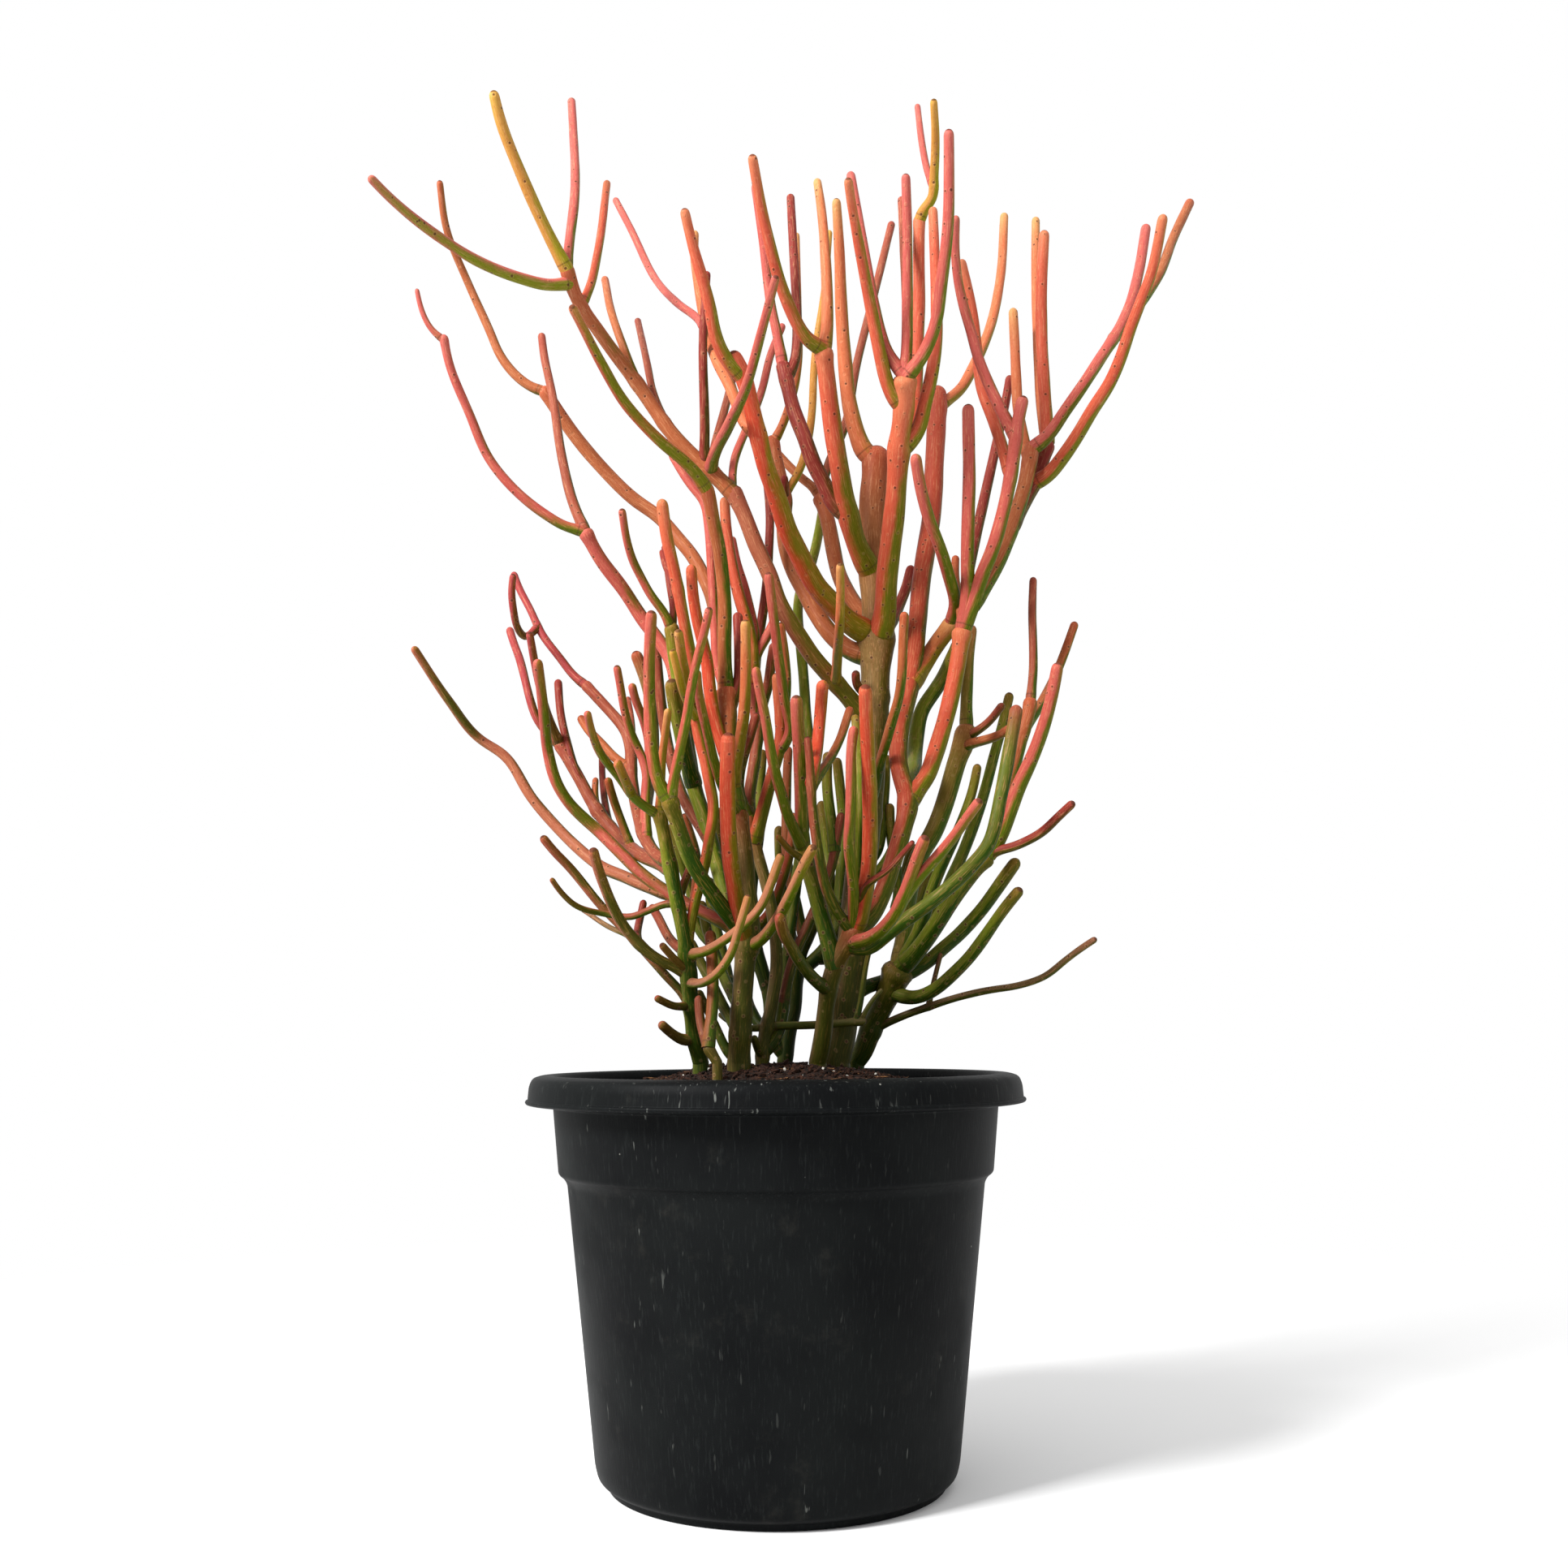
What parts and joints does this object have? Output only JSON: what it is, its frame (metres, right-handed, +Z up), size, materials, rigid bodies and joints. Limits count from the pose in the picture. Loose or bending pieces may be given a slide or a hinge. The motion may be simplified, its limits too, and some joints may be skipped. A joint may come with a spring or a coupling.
{
  "type": "potted pencil cactus",
  "caption": "Bushy pencil cactus with round leafless coral, yellow and green branches, standing in heaped soil in a round tapered nursery pot.",
  "frame": {"origin": "centre of the pot's underside", "axes": "+Z up the pot's axis, -Y toward the side seen in the picture, +X to its right"},
  "size_m": [0.5899, 0.395, 0.9742],
  "materials": {
    "pot": "satin black plastic with fine scratches and pale scuffs",
    "soil": "dark loose bark and coir mix",
    "trunk_cane": "waxy coral and tan skin",
    "left_cane": "waxy green and dusky rose skin",
    "tan_cane": "waxy rose and olive skin",
    "small_cane": "waxy dusky skin",
    "middle_cane": "waxy coral and maroon skin",
    "front_cane": "waxy rose and coral skin",
    "right_cane": "waxy green and olive skin",
    "back_cane": "waxy dark green skin"
  },
  "bodies": {
    "root": {"pot": "pot", "soil": "soil", "trunk_cane": "trunk_cane", "left_cane": "left_cane", "tan_cane": "tan_cane", "small_cane": "small_cane", "middle_cane": "middle_cane", "front_cane": "front_cane", "right_cane": "right_cane", "back_cane": "back_cane"}
  },
  "joints": []
}
